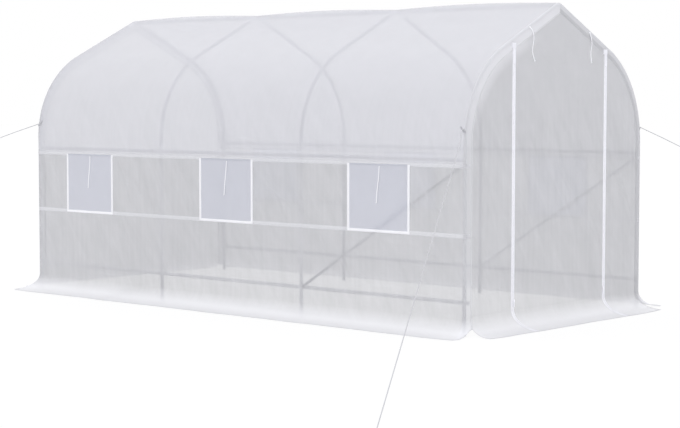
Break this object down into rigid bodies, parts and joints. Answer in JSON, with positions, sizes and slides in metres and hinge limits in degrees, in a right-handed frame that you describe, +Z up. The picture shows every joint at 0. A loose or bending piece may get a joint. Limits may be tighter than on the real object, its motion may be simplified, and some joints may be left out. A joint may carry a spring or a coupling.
{
  "type": "tunnel greenhouse",
  "caption": "Walk-in garden tunnel: steel hoops on legs under a translucent woven film cover, with a zipped roll-up door, roll-up windows, a ground skirt and guy ropes.",
  "frame": {"origin": "on the ground, at the middle of the footprint of the cover with its skirt", "axes": "+X along the tunnel towards the door, +Y across it, +Z up"},
  "size_m": [5.9963, 5.2354, 2.0318],
  "materials": {
    "tube": "satin galvanised",
    "fitting": "satin",
    "film": "translucent woven film",
    "pane": "translucent film over netting",
    "tape": "white sewn tape",
    "cord": "white braided cord",
    "zinc": "zinc plated"
  },
  "bodies": {
    "root": {"leg_near_1": "tube", "leg_near_2": "tube", "leg_near_3": "tube", "leg_near_4": "tube", "leg_far_1": "tube", "leg_far_2": "tube", "leg_far_3": "tube", "leg_far_4": "tube", "bow_near_1": "tube", "bow_near_2": "tube", "bow_near_3": "tube", "bow_near_4": "tube", "bow_far_1": "tube", "bow_far_2": "tube", "bow_far_3": "tube", "bow_far_4": "tube", "crown_fitting_1": "fitting", "crown_fitting_2": "fitting", "crown_fitting_3": "fitting", "crown_fitting_4": "fitting", "ridge_tube_1": "tube", "ridge_tube_2": "tube", "ridge_tube_3": "tube", "mid_rail_near_1": "tube", "mid_rail_near_2": "tube", "mid_rail_near_3": "tube", "mid_rail_far_1": "tube", "mid_rail_far_2": "tube", "mid_rail_far_3": "tube", "bottom_rail_near": "tube", "bottom_rail_far": "tube", "brace_near": "tube", "brace_far": "tube", "wall_near": "film", "wall_far": "film", "roof_sheet": "film", "gable_back": "film", "gable_front": "film", "door_tie_near": "cord", "door_tie_far": "cord", "guy_rope_near_front": "cord", "guy_rope_near_back": "cord", "guy_rope_far_front": "cord", "ground_peg": "zinc"},
    "door": {"door_panel": "film"},
    "slider_near": {"zip_slider_near": "zinc"},
    "slider_far": {"zip_slider_far": "zinc"},
    "window_near_1": {"window_flap_near_1": "pane", "window_tie_near_1": "cord"},
    "window_near_2": {"window_flap_near_2": "pane", "window_tie_near_2": "cord"},
    "window_near_3": {"window_flap_near_3": "pane", "window_tie_near_3": "cord"},
    "window_far_1": {"window_flap_far_1": "pane", "window_tie_far_1": "cord"},
    "window_far_2": {"window_flap_far_2": "pane", "window_tie_far_2": "cord"},
    "window_far_3": {"window_flap_far_3": "pane", "window_tie_far_3": "cord"}
  },
  "joints": [
    {"name": "door_lift", "type": "hinge", "parent": "root", "child": "door", "pos_m": [2.0146, 0.022, 1.6397], "axis": [0, -1, 0], "range_deg": [0, 100]},
    {"name": "zip_near", "type": "slide", "parent": "door", "child": "slider_near", "axis": [0, 0, 1], "range_m": [0, 1.43]},
    {"name": "zip_far", "type": "slide", "parent": "door", "child": "slider_far", "axis": [0, 0, 1], "range_m": [0, 1.43]},
    {"name": "window_near_1_lift", "type": "hinge", "parent": "root", "child": "window_near_1", "pos_m": [-1.4203, -0.9773, 1.0207], "axis": [-1, 0, 0], "range_deg": [0, 115]},
    {"name": "window_near_2_lift", "type": "hinge", "parent": "root", "child": "window_near_2", "pos_m": [-0.015, -0.9773, 1.0207], "axis": [-1, 0, 0], "range_deg": [0, 115]},
    {"name": "window_near_3_lift", "type": "hinge", "parent": "root", "child": "window_near_3", "pos_m": [1.3323, -0.9773, 1.0207], "axis": [-1, 0, 0], "range_deg": [0, 115]},
    {"name": "window_far_1_lift", "type": "hinge", "parent": "root", "child": "window_far_1", "pos_m": [-1.4203, 0.9773, 1.0207], "axis": [1, 0, 0], "range_deg": [0, 115]},
    {"name": "window_far_2_lift", "type": "hinge", "parent": "root", "child": "window_far_2", "pos_m": [-0.015, 0.9773, 1.0207], "axis": [1, 0, 0], "range_deg": [0, 115]},
    {"name": "window_far_3_lift", "type": "hinge", "parent": "root", "child": "window_far_3", "pos_m": [1.3323, 0.9773, 1.0207], "axis": [1, 0, 0], "range_deg": [0, 115]}
  ]
}
